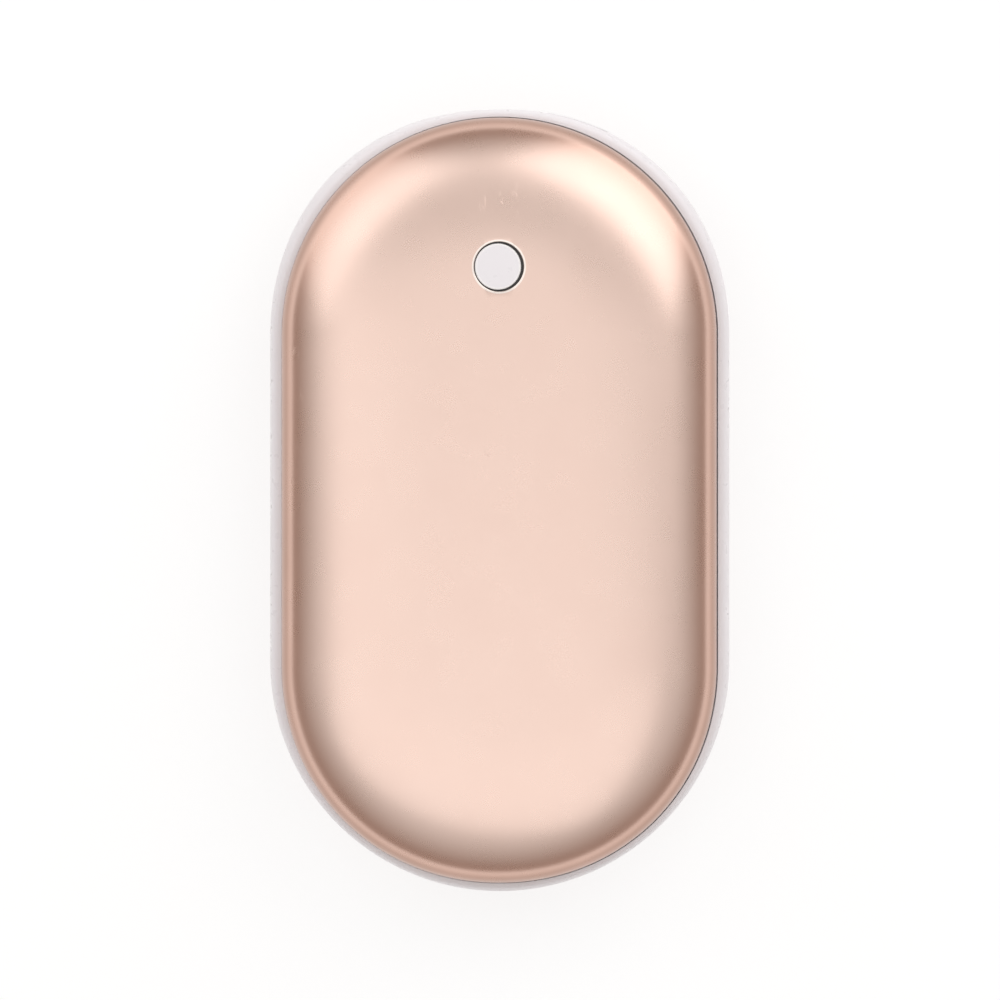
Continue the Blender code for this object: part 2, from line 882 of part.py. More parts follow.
def usb_a_socket(shell_look, plastic, gold):
    mouth = usb_a_mouth_y()
    size = (usb_a_width, usb_a_height, usb_a_depth)
    socket_shell("usb_a_shell", usb_a_x, 0.0, mouth, size, usb_a_corner, shell_look)
    rear = mouth - usb_a_depth
    half_block = usb_a_width / 2 - socket_wall - fit_gap
    half_tall = usb_a_height / 2 - socket_wall - fit_gap
    tongue_top = usb_a_height / 2 - socket_wall - tongue_drop
    tongue_low = tongue_top - tongue_thickness
    bm = bmesh.new()
    corner = usb_a_corner - socket_wall
    points = rounded_rectangle(2 * half_block, 2 * half_tall, corner)
    block_front = rear + usb_a_block
    loft(bm, [[(usb_a_x + px, y, pz) for px, pz in points] for y in (rear, block_front)])
    made = piece("usb_a_insulator", bm, plastic, (usb_a_x, rear, 0.0))
    bm = bmesh.new()
    half_tongue = tongue_width / 2
    block(
        bm,
        (usb_a_x - half_tongue, rear + usb_a_block / 2, tongue_low),
        (usb_a_x + half_tongue, mouth - tongue_setback, tongue_top),
    )
    boolean(made, piece("usb_a_tongue_tool", bm, plastic), "UNION")
    front = mouth - tongue_setback - contact_width
    for i, share in enumerate(contact_place_shares):
        x = usb_a_x + share * contact_span
        top = tongue_low - fit_gap
        bm = bmesh.new()
        block(
            bm,
            (x - contact_width / 2, block_front + fit_gap, top - contact_thickness),
            (x + contact_width / 2, front, top),
        )
        piece(f"usb_a_contact_{i + 1}", bm, gold, (x, front, top))


def micro_socket(shell_look, plastic):
    mouth = micro_mouth_y()
    centre = micro_height_centre()
    size = (micro_width, micro_height, micro_depth)
    socket_shell("micro_usb_shell", micro_x, centre, mouth, size, micro_corner, shell_look)
    rear = mouth - micro_depth
    inner_width = micro_width - 2 * socket_wall - 2 * fit_gap
    inner_tall = micro_height - 2 * socket_wall - 2 * fit_gap
    points = rounded_rectangle(inner_width, inner_tall, micro_corner - socket_wall)
    bm = bmesh.new()
    loft(bm, [[(micro_x + px, y, centre + pz) for px, pz in points] for y in (rear, rear + micro_block)])
    made = piece("micro_usb_insulator", bm, plastic, (micro_x, rear, centre))
    bm = bmesh.new()
    half_wide = micro_tongue_width / 2
    half_thick = micro_tongue_thickness / 2
    block(
        bm,
        (micro_x - half_wide, rear + micro_block / 2, centre - half_thick),
        (micro_x + half_wide, mouth - micro_tongue_setback, centre + half_thick),
    )
    boolean(made, piece("micro_tongue_tool", bm, plastic), "UNION")


# Indicator lights
def lens_height():
    """Height of the lenses' middle, just under the board."""
    return board_bottom - fit_gap - lens_drop - lens_radius / 2


def light_guide(look):
    """A curved bar inside the frame, with one round lens for each light."""
    outer = frame_inner_reach - fit_gap
    inner = outer - guide_bar_width
    first = light_angles()[0] - light_end_angle
    last = light_angles()[-1] + light_end_angle
    angles = [first + (last - first) * step / band_steps for step in range(band_steps + 1)]
    arc = [end_place(angle, outer, 0.0) for angle in angles]
    arc += [end_place(angle, inner, 0.0) for angle in reversed(angles)]
    top = board_bottom - fit_gap
    bm = bmesh.new()
    prism(bm, [(place.x, place.y) for place in arc], top - guide_bar_height, top)
    made = piece("light_guide", bm, look)
    bm = bmesh.new()
    for angle in light_angles():
        axis = (math.cos(angle), math.sin(angle), 0.0)
        start = outer - guide_bar_width / 2
        length = half_width * swell(angle, port_fullness) - lens_sink - start
        pin(bm, end_place(angle, start, lens_height()), axis, lens_radius, length, small_round_steps)
    boolean(made, piece("lens_tool", bm, look), "UNION")


def indicator_lights(look):
    height = board_bottom - fit_gap - led_height / 2
    for i, angle in enumerate(light_angles()):
        centre = end_place(angle, led_reach, height)
        half = Vector((led_depth, led_length, led_height)) / 2
        bm = bmesh.new()
        block(bm, -half, half)
        bmesh.ops.rotate(bm, verts=bm.verts, matrix=Matrix.Rotation(angle, 3, "Z"))
        bmesh.ops.translate(bm, verts=bm.verts, vec=centre)
        piece(f"indicator_led_{i + 1}", bm, look, centre)


# Sensor and leads
def temperature_sensor(look):
    """A bead under the front pad, in the valley between the cells."""
    height = pad_inner - fit_gap - sensor_radius
    profile = [
        (sensor_radius / 2, 0.0),
        (sensor_radius, sensor_radius / 2),
        (sensor_radius, sensor_length - sensor_radius / 2),
        (sensor_radius / 2, sensor_length),
    ]
    bm = bmesh.new()
    turned(bm, profile, (0.0, -sensor_length, height), (0.0, 1.0, 0.0), small_round_steps)
    piece("temperature_sensor", bm, look, (0.0, -sensor_length, height))


def smooth_route(points):
    """Reads more points from a smooth curve through the route's own."""
    route = [Vector(point) for point in points]
    route = [2 * route[0] - route[1]] + route + [2 * route[-1] - route[-2]]
    read = []
    for before, start, end, after in zip(route, route[1:], route[2:], route[3:]):
        for step in range(lead_samples):
            t = step / lead_samples
            bend = 2 * start + (end - before) * t
            bend += (2 * before - 5 * start + 4 * end - after) * t**2
            bend += (3 * start - before - 3 * end + after) * t**3
            read.append(bend / 2)
    return read + [route[-2]]


def lead(name, points, look):
    """A wire as a round tube with closed ends."""
    curve = bpy.data.curves.new(name, "CURVE")
    curve.dimensions = "3D"
    curve.bevel_depth = lead_radius
    curve.bevel_resolution = 2
    curve.use_fill_caps = True
    route = smooth_route(points)
    spline = curve.splines.new("POLY")
    spline.points.add(len(route) - 1)
    for point, place in zip(spline.points, route):
        point.co = (*place, 1.0)
    curve.materials.append(look)
    made = bpy.data.objects.new(name, curve)
    made.location = (0.0, 0.0, half_height)
    bpy.context.collection.objects.link(made)


# Routes, chosen by hand: each stretch is written from a place that it stays with
minus_tail_route = ((-0.0015, -0.0013, 0.0012), (-0.0015, -0.0019, 0.0034))
minus_valley_tail_route = ((-0.0015, -0.0011, -0.0037), (-0.0013, 0.0015, -0.0027), (-0.0011, 0.0100, -0.0029))
minus_valley_port_route = ((-0.0011, -0.0073, -0.0029), (-0.0013, -0.0017, -0.0030))
minus_board_route = (
    (-0.0028, -0.0001, 0.0020),
    (-0.0048, 0.0003, 0.0017),
    (-0.0064, 0.0013, 0.0014),
    (-0.0070, 0.0027, 0.00085),
)
sensor_valley_route = ((0.0009, 0.0003, -0.0016), (0.0009, 0.0030, -0.0017), (0.0009, 0.0100, -0.0017))
sensor_port_route = ((0.0010, -0.0073, -0.0017), (0.0013, -0.0017, -0.0021))
sensor_board_route = (
    (0.0028, -0.0001, 0.0024),
    (0.0048, 0.0003, 0.0019),
    (0.0064, 0.0013, 0.0014),
    (0.0070, 0.0027, 0.00085),
)
plus_board_route = (
    (0.0, 0.0002, -0.00095),
    (0.0, 0.0018, -0.00095),
    (0.0, 0.0034, -0.00095),
    (0.0, 0.0041, -0.00080),
    (0.0, 0.00425, -0.0003),
)
plus_lead_place = 0.00265
front_film_route = ((0.0, -0.0011, -0.00105), (0.0, 0.0007, -0.00125), (0.0, 0.0023, -0.00225))
front_board_route = ((0.0, 0.0029, 0.00305), (0.0, 0.0031, 0.0003))
rear_film_route = ((0.0, 0.0027, 0.0012), (0.0, 0.0045, 0.0016), (0.0, 0.0057, 0.0037))
rear_board_route = ((0.0, 0.0061, -0.00715), (0.0, 0.0061, -0.0003))
front_lead_places = (0.0110, 0.0130)
rear_lead_places = (0.0015, 0.0033)


def stretch(route, x, y, z):
    """A stretch of a route, moved to the place that it is written from."""
    return [(x + px, y + py, z + pz) for px, py, pz in route]


def leads(red, black, white):
    minus = stretch(minus_tail_route, 0.0, cell_tail_y, 0.0)
    minus += stretch(minus_valley_tail_route, 0.0, cell_tail_y, pad_inner)
    minus += stretch(minus_valley_port_route, 0.0, board_y, pad_inner)
    minus += stretch(minus_board_route, 0.0, board_y, board_top)
    lead("battery_lead_minus", minus, black)
    sensor = stretch(sensor_valley_route, 0.0, 0.0, pad_inner)
    sensor += stretch(sensor_port_route, 0.0, board_y, pad_inner)
    sensor += stretch(sensor_board_route, 0.0, board_y, board_top)
    lead("sensor_lead", sensor, black)
    lead("battery_lead_plus", stretch(plus_board_route, cell_x + plus_lead_place, board_y, board_bottom), red)
    for i, place in enumerate(front_lead_places):
        points = stretch(front_film_route, place, board_y, heater_inner)
        points += stretch(front_board_route, place, board_y, board_top)
        lead(f"front_heater_lead_{i + 1}", points, white)
    for i, place in enumerate(rear_lead_places):
        x = -usb_a_side - place
        points = stretch(rear_film_route, x, board_y, -heater_inner)
        points += stretch(rear_board_route, x, board_y, board_bottom)
        lead(f"rear_heater_lead_{i + 1}", points, white)


# The whole object
def build():
    for old in list(bpy.data.objects):
        bpy.data.objects.remove(old)

    rose_metal = material("rose_aluminium", (0.80, 0.56, 0.46), 0.32, 1.0)
    white_plastic = material("white_plastic", (0.86, 0.85, 0.86), 0.30)
    grey_plastic = material("grey_plastic", (0.42, 0.43, 0.45), 0.55)
    black_plastic = material("black_plastic", (0.03, 0.03, 0.03), 0.50)
    clear_plastic = material("clear_plastic", (0.85, 0.88, 0.90), 0.10)
    steel = material("plated_steel", (0.62, 0.62, 0.60), 0.30, 1.0)
    nickel = material("nickel", (0.66, 0.63, 0.57), 0.35, 1.0)
    gold = material("gold_contact", (0.83, 0.62, 0.24), 0.30, 1.0)
    board_green = material("board_green", (0.03, 0.20, 0.09), 0.45)
    film = material("heater_film", (0.55, 0.25, 0.05), 0.40)
    foam = material("pad_foam", (0.22, 0.22, 0.24), 0.90)
    blue_wrap = material("cell_wrap", (0.06, 0.20, 0.45), 0.45)
    paper = material("washer_paper", (0.72, 0.74, 0.70), 0.80)
    ferrite = material("ferrite", (0.06, 0.06, 0.07), 0.60)
    ceramic = material("capacitor_ceramic", (0.48, 0.36, 0.24), 0.50)
    led_body = material("led_body", (0.90, 0.90, 0.84), 0.30)
    red_wire = material("red_wire", (0.60, 0.04, 0.03), 0.45)
    black_wire = material("black_wire", (0.03, 0.03, 0.03), 0.45)
    white_wire = material("white_wire", (0.80, 0.80, 0.78), 0.45)

    front = shell("front_shell", 1, rose_metal)
    hole = button_hole(button_hole_radius, flange_top(), rose_metal)
    boolean(front, hole, "DIFFERENCE")
    shell("rear_shell", -1, rose_metal)
    mid_frame(white_plastic)
    liner("front_liner", 1, grey_plastic)
    liner("rear_liner", -1, grey_plastic)

    front_film = heater("front_heater", 1, film)
    film_hole = button_hole(flange_radius + heater_hole_margin, flange_top() - flange_thickness, film)
    boolean(front_film, film_hole, "DIFFERENCE")
    heater("rear_heater", -1, film)
    pad("front_pad", 1, foam)
    pad("rear_pad", -1, foam)

    cells(blue_wrap)
    washer("cell_washer_left", -cell_x, paper)
    washer("cell_washer_right", cell_x, paper)
    nickel_strip("nickel_strip_port", cell_port_y + fit_gap, nickel)
    nickel_strip("nickel_strip_tail", cell_tail_y - fit_gap - nickel_thickness, nickel)
    cell_cradle(grey_plastic)
    for i, (x, y) in enumerate(cradle_boss_places()):
        screw(f"cradle_screw_{i + 1}", x, y, lug_thickness, steel)

    circuit_board(board_green)
    for i, (x, y) in enumerate(board_boss_places()):
        screw(f"board_screw_{i + 1}", x, y, board_top, steel)
    size = charger_size
    board_block("charger_chip", charger_place_shares, size, size, chip_height, black_plastic)
    size = controller_size
    board_block("controller_chip", controller_place_shares, size, size, chip_height, black_plastic)
    for i, shares in enumerate(capacitor_place_shares):
        board_block(f"capacitor_{i + 1}", shares, capacitor_length, capacitor_width, capacitor_width, ceramic)
    inductor(ferrite)

    switch_body(black_plastic)
    switch_plunger(black_plastic)
    button_cap(white_plastic)
    button_guide(white_plastic)

    usb_a_socket(steel, black_plastic, gold)
    micro_socket(steel, black_plastic)
    light_guide(clear_plastic)
    indicator_lights(led_body)

    temperature_sensor(black_plastic)
    leads(red_wire, black_wire, white_wire)


build()
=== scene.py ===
"""Looks of the rechargeable hand warmer: fine housing, materials, soft studio light and the camera.

Metres, in the CAD frame: the rear shell rests on z = 0 and the sockets' end points towards +Y. A reach is a
distance from the spine, the line between the centres of the two round ends. Heights of the housing's outlines
are counted from the mid plane.
"""

import json
import math

import bmesh
import bpy
from mathutils import Matrix, Vector


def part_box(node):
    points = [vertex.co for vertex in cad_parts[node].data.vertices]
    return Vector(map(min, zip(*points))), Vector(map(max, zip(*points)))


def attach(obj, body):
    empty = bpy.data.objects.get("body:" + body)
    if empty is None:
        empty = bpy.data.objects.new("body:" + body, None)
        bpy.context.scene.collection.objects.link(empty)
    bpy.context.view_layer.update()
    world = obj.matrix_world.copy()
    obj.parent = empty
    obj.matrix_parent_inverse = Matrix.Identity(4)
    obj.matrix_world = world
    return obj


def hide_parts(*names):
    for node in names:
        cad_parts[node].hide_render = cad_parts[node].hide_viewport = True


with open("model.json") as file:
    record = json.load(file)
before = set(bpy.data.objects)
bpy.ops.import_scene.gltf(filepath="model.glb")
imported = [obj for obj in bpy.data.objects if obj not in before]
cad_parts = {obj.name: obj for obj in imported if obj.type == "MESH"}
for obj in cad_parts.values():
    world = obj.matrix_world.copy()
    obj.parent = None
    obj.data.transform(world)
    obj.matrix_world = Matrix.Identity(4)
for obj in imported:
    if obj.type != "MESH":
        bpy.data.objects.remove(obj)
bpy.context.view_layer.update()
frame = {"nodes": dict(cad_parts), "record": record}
nodes = frame["nodes"]

# Sizes of the housing, as in the CAD
mid_height = 0.0130
spine_half = 0.020645
half_width = 0.02935
band_half = 0.0045
ledge_height = 0.0035
lip_reach = 0.02695
lip_top = 0.0055
frame_inner_reach = 0.02605
band_power = 3.5
port_fullness = 2.13
flat_reach = 0.0080
crown_power = 2.6
crown_base = 0.0058
shell_wall = 0.0007
millimetres = 1000.0


def middle(node):
    low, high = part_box(node)
    return (low + high) / 2


button_y = middle("button_cap").y

# The fine shells fill their rebates more closely than the CAD's, which keep clear of their neighbours. The
# front one and the button sit a little to the left, as on the photographed one
shell_reach = 0.02776
shell_stretch = 0.00042
shell_tail_fullness = 2.06
seam = 0.00010
rim_height = 0.0038
rim_break = 0.00015
shell_shift = (-0.00008, -0.00002)
hole_x = -0.00011
hole_radius = 0.00318
hole_edge = 0.00011
cap_x = -0.00024
cap_radius = 0.00295

# Large socket. The leaves' bends are depths behind the mouth, with how far each point is lifted off the wall
usb_a_corner = 0.0009
usb_a_wall = 0.0003
usb_a_flare = 0.00006
leaf_x = 0.0029
leaf_width = 0.0019
leaf_thickness = 0.0002
leaf_bends = (
    (0.0011, 0.0), (0.0014, 0.00012), (0.0020, 0.00034), (0.0024, 0.00038), (0.0030, 0.00033),
    (0.0045, 0.00018), (0.0065, 0.0),
)
block_depth = 0.0040
block_inset = 0.0006
block_edge = 0.0002
tongue_rise = 0.0020
tongue_thickness = 0.0018
tongue_half = 0.00555
tongue_corner = 0.00012
tongue_root = 0.0020
tongue_tip = ((0.0008, 0.0), (0.0001, 0.00032), (0.0, 0.00040))
tip_taper_share = 0.6
usb_a_contacts = 4
contact_bends = (
    (0.0, 0.0), (0.55, 0.0), (0.70, 0.00014), (0.84, 0.00034), (0.90, 0.00038), (0.95, 0.00030), (1.0, 0.0),
)

# Small socket
micro_corner = 0.0007
micro_slant = 0.00088
micro_slant_share = 0.586
micro_soft = 0.00028
micro_wall = 0.00026
micro_flare = 0.00010
micro_contacts = 5
micro_contact_pitch = 0.00065
micro_contact_width = 0.00032
micro_contact_thickness = 0.0001
micro_contact_drop = 0.00030
micro_contact_root = 0.0018
micro_contact_tip = ((0.0005, 0.0), (0.0002, 0.0001))

# Windows and lights. The cutters for the windows end beyond the frame
window_margin = 0.00014
window_end = 0.056
light_count = 4
lens_height = mid_height + 0.00175
lens_radius = 0.0006
lens_gap = 0.00008
lens_hole_start = 0.0010
lens_hole_length = 0.0080
lens_sink = 0.0001
dome_height = 0.00022
guide_inner = 0.02465
guide_outer = 0.02575
guide_spine = 0.0252
guide_height = 0.00165
guide_end_angle = math.radians(3.0)

# Button
stem_radius = 0.0015
flange_top = mid_height + 0.01197
flange_thickness = 0.0008
cap_edge_drop = 0.00022
cap_edge_width = 0.00020
cap_bulge = 0.00004
crevice_depth = 0.0005

# Steps round the fine pieces
end_steps = 96
crown_steps = 44
inner_crown_steps = 10
band_steps = 28
hole_steps = 72
lens_steps = 32
dome_steps = 6
guide_steps = 24
sharp_angle = math.radians(40)


# Outlines
def swell(angle, fullness):
    across = abs(math.cos(angle)) ** fullness
    along = abs(math.sin(angle)) ** fullness
    return (across + along) ** (-1 / fullness)


def outline(reach, height, port=2.0, tail=2.0, stretch=0.0):
    """One ring round the object. Port and tail are the fullness of its ends. Stretch lengthens its spine."""
    points = []
    centre = spine_half + stretch
    for centre_y, first_angle, power in ((centre, 0.0, port), (-centre, math.pi, tail)):
        for step in range(end_steps + 1):
            angle = first_angle + math.pi * step / end_steps
            distance = reach * swell(angle, power)
            x = distance * math.cos(angle)
            points.append((x, centre_y + distance * math.sin(angle), mid_height + height))
    return points


def crown_height(reach, rim_reach, top):
    """Height of a crowned face at a reach, down to the top of the rim."""
    share = min(max((reach - flat_reach) / (rim_reach - flat_reach), 0.0), 1.0)
    return crown_base + (top - crown_base) * (1 - share**crown_power) ** (1 / crown_power)


def crown(rim_reach, top, steps):
    """Reach and height from near the spine out to the rim."""
    points = [(flat_reach * share, top) for share in (0.04, 0.2, 0.4, 0.6, 0.8, 0.9)]
    for step in range(steps + 1):
        angle = math.pi / 2 * (1 - step / steps)
        across = max(math.cos(angle), 0.0) ** (2 / crown_power)
        reach = flat_reach + (rim_reach - flat_reach) * across
        points.append((reach, crown_base + (top - crown_base) * math.sin(angle) ** (2 / crown_power)))
    return points


# Shapes
def loft(bm, rings, joined=False):
    loops = [[bm.verts.new(point) for point in ring] for ring in rings]
    pairs = list(zip(loops, loops[1:]))
    if joined:
        pairs.append((loops[-1], loops[0]))
    else:
        bm.faces.new(loops[0])
        bm.faces.new(loops[-1])
    for first, second in pairs:
        for i, vertex in enumerate(first):
            bm.faces.new((vertex, first[i - 1], second[i - 1], second[i]))


def turned(bm, profile, foot, axis, steps=hole_steps):
    place = Matrix.Translation(foot) @ Vector(axis).to_track_quat("Z", "Y").to_matrix().to_4x4()
    rings = []
    for radius, height in profile:
        angles = [2 * math.pi * step / steps for step in range(steps)]
        rings.append([place @ Vector((radius * math.cos(a), radius * math.sin(a), height)) for a in angles])
    loft(bm, rings)


def arc_corner(outer, inner, steps):
    """Points of a quarter round between two corners of a profile, for a softened edge."""
    points = []
    for step in range(steps + 1):
        angle = math.pi / 2 * step / steps
        across = outer[0] + (inner[0] - outer[0]) * (1 - math.cos(angle))
        points.append((across, outer[1] + (inner[1] - outer[1]) * math.sin(angle)))
    return points


def smooth(mesh):
    mesh.shade_smooth()
    mesh.set_sharp_from_angle(angle=sharp_angle)


def piece(name, bm, look, body, replaced=()):
    """A piece of the visual model, which rides on a body and takes the place of the nodes named last."""
    bmesh.ops.recalc_face_normals(bm, faces=bm.faces)
    mesh = bpy.data.meshes.new(name)
    bm.to_mesh(mesh)
    bm.free()
    smooth(mesh)
    mesh.materials.append(look)
    made = bpy.data.objects.new(name, mesh)
    bpy.context.scene.collection.objects.link(made)
    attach(made, body)
    if replaced:
        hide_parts(*replaced)
    return made


def cut(target, bm):
    """Cuts a drawn tool from a piece and deletes the tool."""
    bmesh.ops.recalc_face_normals(bm, faces=bm.faces)
    mesh = bpy.data.meshes.new("tool")
    bm.to_mesh(mesh)
    bm.free()
    tool = bpy.data.objects.new("tool", mesh)
    bpy.context.scene.collection.objects.link(tool)
    step = target.modifiers.new("cut", "BOOLEAN")
    step.operation = "DIFFERENCE"
    step.solver = "EXACT"
    step.object = tool
    bpy.context.view_layer.update()
    evaluated = target.evaluated_get(bpy.context.evaluated_depsgraph_get())
    result = bpy.data.meshes.new_from_object(evaluated)
    target.modifiers.remove(step)
    target.data = result
    smooth(result)
    bpy.data.objects.remove(tool)


# Materials
class Look:
    """A node material round one Principled shader, with its coordinates in millimetres."""

    def __init__(self, name, colour, roughness, metallic=0.0, **sockets):
        self.material = bpy.data.materials.new(name)
        self.material.use_nodes = True
        self.tree = self.material.node_tree
        self.shader = self.tree.nodes["Principled BSDF"]
        self.shader.inputs["Base Color"].default_value = (*colour, 1.0)
        self.shader.inputs["Roughness"].default_value = roughness
        self.shader.inputs["Metallic"].default_value = metallic
        for socket, value in sockets.items():
            self.shader.inputs[socket.replace("_", " ")].default_value = value
        place = self.node("ShaderNodeTexCoord").outputs["Object"]
        self.place = self.math3("MULTIPLY", place, (millimetres, millimetres, millimetres))
        self.height = None

    def node(self, kind, **settings):
        made = self.tree.nodes.new(kind)
        for name, value in settings.items():
            setattr(made, name, value)
        return made

    def feed(self, socket, value):
        if isinstance(value, bpy.types.NodeSocket):
            self.tree.links.new(value, socket)
        else:
            socket.default_value = value

    def math3(self, operation, a, b):
        made = self.node("ShaderNodeVectorMath", operation=operation)
        self.feed(made.inputs[0], a)
        self.feed(made.inputs[1], b)
        return made.outputs["Value" if operation in ("DOT_PRODUCT", "DISTANCE", "LENGTH") else "Vector"]

    def math(self, operation, a, b=0.0, clamp=False):
        made = self.node("ShaderNodeMath", operation=operation, use_clamp=clamp)
        self.feed(made.inputs[0], a)
        self.feed(made.inputs[1], b)
        return made.outputs[0]

    def height_above_floor(self):
        split = self.node("ShaderNodeSeparateXYZ")
        self.feed(split.inputs[0], self.place)
        return split.outputs["Z"]

    def apart(self, x, y):
        """How far a point is from an upright line at x and y, all in millimetres."""
        flat = self.math3("MULTIPLY", self.place, (1.0, 1.0, 0.0))
        return self.math3("DISTANCE", flat, (x, y, 0.0))

    def stretch(self, scale):
        return self.math3("MULTIPLY", self.place, scale)

    def noise(self, scale, detail=2.0, roughness=0.5, place=None, distortion=0.0):
        made = self.node("ShaderNodeTexNoise")
        self.feed(made.inputs["Vector"], place or self.place)
        made.inputs["Scale"].default_value = scale
        made.inputs["Detail"].default_value = detail
        made.inputs["Roughness"].default_value = roughness
        made.inputs["Distortion"].default_value = distortion
        return made.outputs["Fac"]

    def remap(self, value, low, high, to_low=0.0, to_high=1.0, smooth=False):
        made = self.node("ShaderNodeMapRange", interpolation_type="SMOOTHSTEP" if smooth else "LINEAR")
        self.feed(made.inputs["Value"], value)
        numbers = (low, high, to_low, to_high)
        for socket, number in zip(("From Min", "From Max", "To Min", "To Max"), numbers):
            made.inputs[socket].default_value = number
        return made.outputs["Result"]

    def mix(self, share, a, b):
        made = self.node("ShaderNodeMix", data_type="RGBA")
        self.feed(made.inputs["Factor"], share)
        colours = [s for s in made.inputs if s.type == "RGBA"]
        for socket, value in zip(colours, (a, b)):
            self.feed(socket, (*value, 1.0) if isinstance(value, tuple) else value)
        return [s for s in made.outputs if s.type == "RGBA"][0]

    def colour(self, value):
        self.feed(self.shader.inputs["Base Color"], value)

    def roughness(self, value):
        self.feed(self.shader.inputs["Roughness"], value)

    def bump(self, height, distance, strength=1.0):
        made = self.node("ShaderNodeBump")
        made.inputs["Distance"].default_value = distance
        made.inputs["Strength"].default_value = strength
        self.feed(made.inputs["Height"], height)
        if self.height is not None:
            self.feed(made.inputs["Normal"], self.height)
        self.height = made.outputs["Normal"]
        self.feed(self.shader.inputs["Normal"], self.height)


def tinted(look, light, dark, scale, detail=3.0):
    """Colour that wanders gently between two tones."""
    return look.mix(look.remap(look.noise(scale, detail), 0.3, 0.7), light, dark)


def rose_aluminium():
    """Blasted and anodised aluminium with fine grain and handling marks. Down its sloping sides the colour
    deepens, partly as anodised tone and partly as painted shade, and just above the rim it is painted darker
    still as shade.

    The cut edge of the button's hole carries a painted highlight round its edge and painted shade inside."""
    look = Look("rose_aluminium", (0.80, 0.605, 0.525), 0.30, 1.0)
    rise = look.math("ABSOLUTE", look.math("SUBTRACT", look.height_above_floor(), mid_height * millimetres))
    # Down the sloping sides the colour deepens, partly as the anodised tone and partly as painted shade.
    steep_top, steep_foot = 11.2, 8.6
    # Painted shade: the band just above the rim is coloured a much darker copy of the metal.
    rim_shade_top, rim_shade_foot = 9.6, 8.4
    steep_tone_and_shade = look.remap(rise, steep_top, steep_foot, smooth=True)
    rim = look.remap(rise, rim_shade_top, rim_shade_foot, smooth=True)
    face = tinted(look, (0.811, 0.613, 0.533), (0.799, 0.599, 0.519), 0.09)
    # Deeper copy of the metal for the sloping sides: part anodised tone, part painted shade.
    side = tinted(look, (0.815, 0.560, 0.465), (0.800, 0.545, 0.450), 0.16)
    # Much darker copy of the metal, painted as shade near the rim.
    low = tinted(look, (0.530, 0.342, 0.275), (0.505, 0.327, 0.260), 0.16)
    tone = look.mix(rim, look.mix(steep_tone_and_shade, face, side), low)
    apart = look.apart(hole_x * millimetres, button_y * millimetres)
    hole = hole_radius * millimetres
    # Painted highlight: a pale ring round the button's hole.
    chamfer_highlight = look.remap(apart, hole + 0.30, hole + 0.22)
    tone = look.mix(chamfer_highlight, tone, (0.95, 0.86, 0.80))
    # Painted shade: the wall of the hole below the face is coloured dark.
    under_face = look.remap(rise, 12.88, 12.80)
    inside = look.math("MULTIPLY", look.remap(apart, hole + 0.02, hole + 0.01), under_face)
    look.colour(look.mix(inside, tone, (0.16, 0.11, 0.095)))
    grain = look.noise(7.0, 3.0, 0.65)
    hairs = look.noise(0.55, 4.0, 0.7, look.stretch((9.0, 0.5, 1.0)))
    marks = wear_marks(look)
    haze = look.math("MULTIPLY", look.math("SUBTRACT", look.noise(0.25, 3.0), 0.5), 0.05)
    rough = look.math("ADD", 0.28, haze)
    rough = look.math("ADD", rough, look.math("MULTIPLY", look.math("SUBTRACT", grain, 0.5), 0.03))
    look.roughness(look.math("ADD", rough, look.math("MULTIPLY", marks, 0.12)))
    look.bump(grain, 0.0000010)
    look.bump(hairs, 0.0000009)
    look.bump(marks, 0.000010)
    return look.material


def wear_marks(look):
    """Small dents and hairline scuffs where the photographed one shows them, as a share from 0 to 1."""
    strokes = look.noise(2.2, 3.0, 0.7, look.stretch((1.0, 0.25, 1.0)), 0.6)
    strokes = look.remap(strokes, 0.60, 0.68)
    total = None
    places = (
        ((-1.9, 37.5), 1.2), ((0.5, 38.2), 3.4), ((-1.6, 5.8), 0.8), ((25.6, 16.2), 1.1), ((25.8, 12.4), 0.9),
        ((-25.9, 18.6), 1.4), ((-25.9, 12.5), 1.6), ((-25.8, 6.0), 1.4), ((-26.2, 2.8), 0.9),
    )
    for (x, y), radius in places:
        spot = look.remap(look.apart(x, y), radius * 0.4, radius, 1.0, 0.0, smooth=True)
        total = spot if total is None else look.math("ADD", total, spot, clamp=True)
    return look.math("MULTIPLY", total, strokes)


def white_plastic():
    """Moulded white plastic with a faint orange peel."""
    look = white_look("white_plastic")
    look.colour(white_tone(look))
    return look.material


def button_plastic(crevice):
    """The same plastic, with a painted highlight at the cap's edge and painted shade below the height of the
    crevice.
    """
    look = white_look("button_plastic")
    cap = cap_radius * millimetres
    apart = look.apart(cap_x * millimetres, button_y * millimetres)
    # Painted highlight: a paler ring just inside the cap's edge.
    edge = look.remap(apart, cap - 0.34, cap - 0.16)
    # Painted shade: below the crevice's height the cap is coloured dark.
    crevice_shade = look.remap(look.height_above_floor(), crevice + 0.10, crevice - 0.15, smooth=True)
    tone = look.mix(edge, white_tone(look), (0.985, 0.98, 0.985))
    look.colour(look.mix(crevice_shade, tone, (0.10, 0.09, 0.085)))
    return look.material


def white_look(name):
    look = Look(name, (0.90, 0.885, 0.92), 0.30, IOR=1.52)
    look.roughness(look.remap(look.noise(0.8, 3.0), 0.2, 0.8, 0.25, 0.34))
    look.bump(look.noise(0.7, 2.0), 0.000004, 0.30)
    return look


def white_tone(look):
    return tinted(look, (0.905, 0.890, 0.925), (0.893, 0.879, 0.912), 0.12)


def moulded(name, light, dark, roughness):
    """Matte moulded plastic with a fine spark texture."""
    look = Look(name, light, roughness)
    look.colour(tinted(look, light, dark, 0.4))
    look.roughness(look.remap(look.noise(3.0, 3.0), 0.2, 0.8, roughness - 0.06, roughness + 0.06))
    look.bump(look.noise(9.0, 3.0, 0.6), 0.000006, 0.5)
    return look.material


